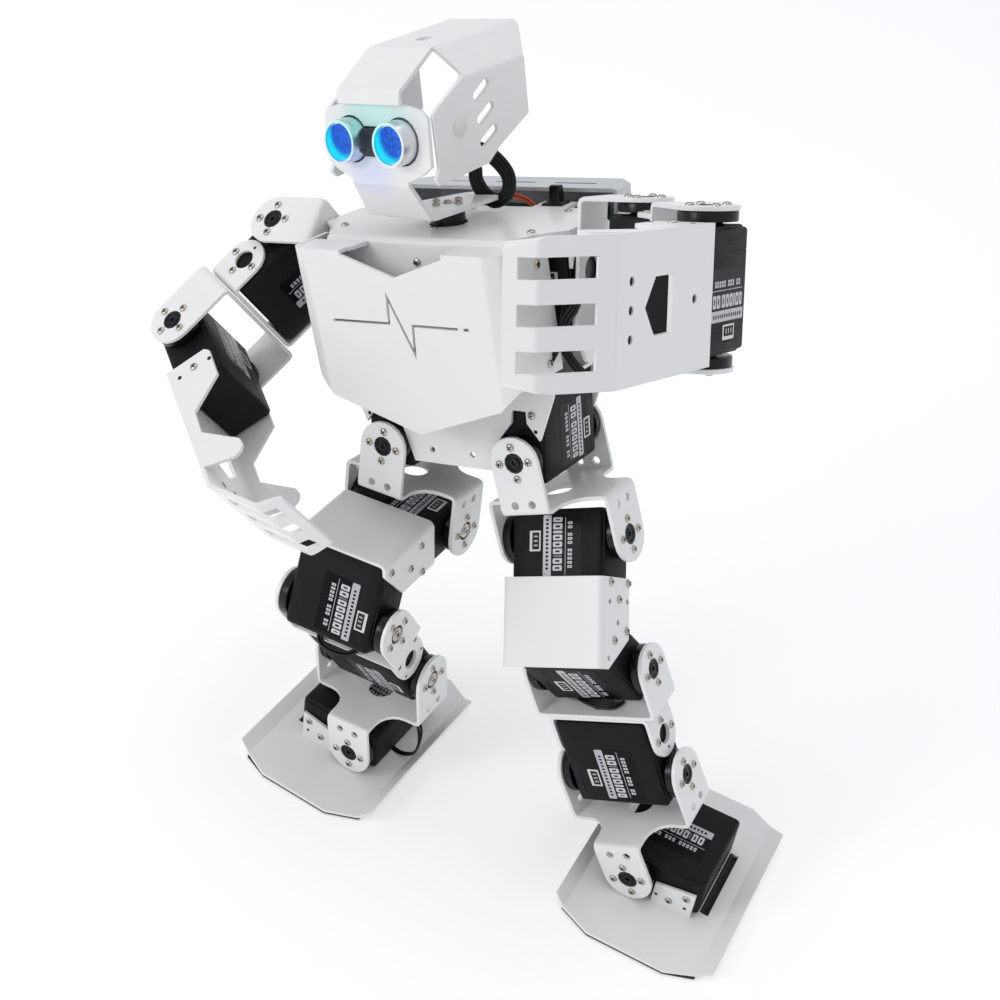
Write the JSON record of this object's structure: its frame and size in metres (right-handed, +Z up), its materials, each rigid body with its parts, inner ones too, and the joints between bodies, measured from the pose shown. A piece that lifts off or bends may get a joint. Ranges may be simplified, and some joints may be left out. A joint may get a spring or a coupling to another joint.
{
  "type": "humanoid robot kit",
  "caption": "Small humanoid robot kit of black servos joined by bent white sheet brackets, in a striding pose with slotted hands, helmet head and wide feet.",
  "frame": {"origin": "middle of the footprint of the bounding box, on the floor", "axes": "+Z up, the robot faces about -Y, its left side is +X"},
  "size_m": [0.296, 0.1938, 0.3305],
  "materials": {
    "white_brackets": "satin white powder coat",
    "servo_cases": "fine textured black plastic",
    "horns_and_switch": "smooth black plastic",
    "rubber_soles": "matt",
    "circuit_boards": "solder mask",
    "battery_wrap": "shrink wrap",
    "rear_cover": "pale grey satin",
    "transducer_cans": "drawn can, satin",
    "screws": "nickel plated",
    "hub_metal": "machined",
    "labels": "printed label",
    "label_print": "pale print",
    "cable_black": "soft wire sleeve",
    "cable_red": "soft wire sleeve",
    "cable_orange": "soft wire sleeve",
    "connector_white": "moulded",
    "blue_light": "lit blue glow"
  },
  "bodies": {
    "torso": {"chest_cover": "white_brackets", "body_frame": "white_brackets", "pelvis_frame": "white_brackets", "back_cover": "rear_cover", "controller_board": "circuit_boards", "battery_pack": "battery_wrap", "power_switch": "horns_and_switch", "left_hip_roll_servo": "servo_cases", "right_hip_roll_servo": "servo_cases", "neck_servo": "servo_cases", "left_shoulder_pitch_servo": "servo_cases", "right_shoulder_pitch_servo": "servo_cases"},
    "head": {"face_plate": "white_brackets", "neck_horn": "horns_and_switch", "helmet_shell": "white_brackets", "range_finder_board": "circuit_boards", "transmitter_can": "transducer_cans", "receiver_can": "transducer_cans"},
    "left_shoulder": {"left_shoulder_bracket": "white_brackets", "left_shoulder_horn": "horns_and_switch"},
    "left_upper_arm": {"left_shoulder_roll_servo": "servo_cases", "left_upper_arm_bracket": "white_brackets", "left_elbow_bracket": "white_brackets"},
    "left_forearm": {"left_elbow_servo": "servo_cases", "left_hand": "white_brackets"},
    "left_hip": {"left_hip_bracket": "white_brackets"},
    "left_thigh": {"left_hip_pitch_servo": "servo_cases", "left_knee_servo": "servo_cases", "left_thigh_bracket": "white_brackets"},
    "left_shank": {"left_knee_bracket": "white_brackets", "left_ankle_pitch_servo": "servo_cases", "left_shank_bracket": "white_brackets"},
    "left_ankle": {"left_ankle_bracket": "white_brackets"},
    "left_foot": {"left_ankle_roll_servo": "servo_cases", "left_foot_plate": "white_brackets", "left_foot_sole": "rubber_soles"},
    "right_shoulder": {"right_shoulder_bracket": "white_brackets", "right_shoulder_horn": "horns_and_switch"},
    "right_upper_arm": {"right_shoulder_roll_servo": "servo_cases", "right_upper_arm_bracket": "white_brackets", "right_elbow_bracket": "white_brackets"},
    "right_forearm": {"right_elbow_servo": "servo_cases", "right_hand": "white_brackets"},
    "right_hip": {"right_hip_bracket": "white_brackets"},
    "right_thigh": {"right_hip_pitch_servo": "servo_cases", "right_knee_servo": "servo_cases", "right_thigh_bracket": "white_brackets"},
    "right_shank": {"right_knee_bracket": "white_brackets", "right_ankle_pitch_servo": "servo_cases", "right_shank_bracket": "white_brackets"},
    "right_ankle": {"right_ankle_bracket": "white_brackets"},
    "right_foot": {"right_ankle_roll_servo": "servo_cases", "right_foot_plate": "white_brackets", "right_foot_sole": "rubber_soles"}
  },
  "joints": [
    {"name": "neck", "type": "hinge", "parent": "torso", "child": "head", "pos_m": [-0.04892, 0.03289, 0.24494], "axis": [-0.3305, 0.1785, 0.9268], "range_deg": [-70, 80], "stiffness_Nm_per_rad": 5},
    {"name": "left_shoulder_pitch", "type": "hinge", "parent": "torso", "child": "left_shoulder", "pos_m": [0.02889, 0.04166, 0.25083], "axis": [0.9438, 0.0625, 0.3246], "range_deg": [-70, 100], "stiffness_Nm_per_rad": 5},
    {"name": "left_shoulder_roll", "type": "hinge", "parent": "left_shoulder", "child": "left_upper_arm", "pos_m": [0.02889, 0.04166, 0.25083], "axis": [0.3257, -0.343, -0.8811], "range_deg": [-70, 5], "stiffness_Nm_per_rad": 5},
    {"name": "left_elbow", "type": "hinge", "parent": "left_upper_arm", "child": "left_forearm", "pos_m": [0.06584, 0.00735, 0.27784], "axis": [0.3257, -0.343, -0.8811], "range_deg": [-120, 10], "stiffness_Nm_per_rad": 5},
    {"name": "left_hip_roll", "type": "hinge", "parent": "torso", "child": "left_hip", "pos_m": [0.00926, 0.03053, 0.16925], "axis": [0, 0.982, -0.1891], "range_deg": [-30, 10], "stiffness_Nm_per_rad": 30},
    {"name": "left_hip_pitch", "type": "hinge", "parent": "left_hip", "child": "left_thigh", "pos_m": [0.02886, 0.02398, 0.13523], "axis": [0.8704, 0.0931, 0.4835], "range_deg": [-55, 15], "stiffness_Nm_per_rad": 30},
    {"name": "left_knee", "type": "hinge", "parent": "left_thigh", "child": "left_shank", "pos_m": [0.056, 0.01046, 0.08899], "axis": [0.8704, 0.0931, 0.4835], "range_deg": [-14, 75], "stiffness_Nm_per_rad": 30},
    {"name": "left_ankle_pitch", "type": "hinge", "parent": "left_shank", "child": "left_ankle", "pos_m": [0.08065, 0.01009, 0.04469], "axis": [0.8704, 0.0931, 0.4835], "range_deg": [-45, 30], "stiffness_Nm_per_rad": 30},
    {"name": "left_ankle_roll", "type": "hinge", "parent": "left_ankle", "child": "left_foot", "pos_m": [0.09767, 0.01192, 0.0137], "axis": [-0.1064, 0.9943, 0], "range_deg": [-35, 20], "stiffness_Nm_per_rad": 30},
    {"name": "right_shoulder_pitch", "type": "hinge", "parent": "torso", "child": "right_shoulder", "pos_m": [-0.11438, 0.03217, 0.20156], "axis": [0.9438, 0.0625, 0.3246], "range_deg": [-70, 5], "stiffness_Nm_per_rad": 5},
    {"name": "right_shoulder_roll", "type": "hinge", "parent": "right_shoulder", "child": "right_upper_arm", "pos_m": [-0.11438, 0.03217, 0.20156], "axis": [0.2378, 0.5537, -0.798], "range_deg": [-20, 60], "stiffness_Nm_per_rad": 5},
    {"name": "right_elbow", "type": "hinge", "parent": "right_upper_arm", "child": "right_forearm", "pos_m": [-0.13065, -0.01049, 0.16711], "axis": [0.2378, 0.5537, -0.798], "range_deg": [-10, 110], "stiffness_Nm_per_rad": 5},
    {"name": "right_hip_roll", "type": "hinge", "parent": "torso", "child": "right_hip", "pos_m": [-0.04775, 0.02676, 0.14965], "axis": [0, 0.982, -0.1891], "range_deg": [-15, 20], "stiffness_Nm_per_rad": 30},
    {"name": "right_hip_pitch", "type": "hinge", "parent": "right_hip", "child": "right_thigh", "pos_m": [-0.04241, 0.0193, 0.11092], "axis": [0.991, 0.0253, 0.1316], "range_deg": [-15, 55], "stiffness_Nm_per_rad": 30},
    {"name": "right_knee", "type": "hinge", "parent": "right_thigh", "child": "right_shank", "pos_m": [-0.03862, -0.03265, 0.09234], "axis": [0.991, 0.0253, 0.1316], "range_deg": [-95, 5], "stiffness_Nm_per_rad": 30},
    {"name": "right_ankle_pitch", "type": "hinge", "parent": "right_shank", "child": "right_ankle", "pos_m": [-0.03349, -0.00721, 0.04879], "axis": [0.991, 0.0253, 0.1316], "range_deg": [-40, 30], "stiffness_Nm_per_rad": 30},
    {"name": "right_ankle_roll", "type": "hinge", "parent": "right_ankle", "child": "right_foot", "pos_m": [-0.02883, -0.00709, 0.0137], "axis": [-0.0256, 0.9997, 0], "range_deg": [-40, 2], "stiffness_Nm_per_rad": 30}
  ]
}
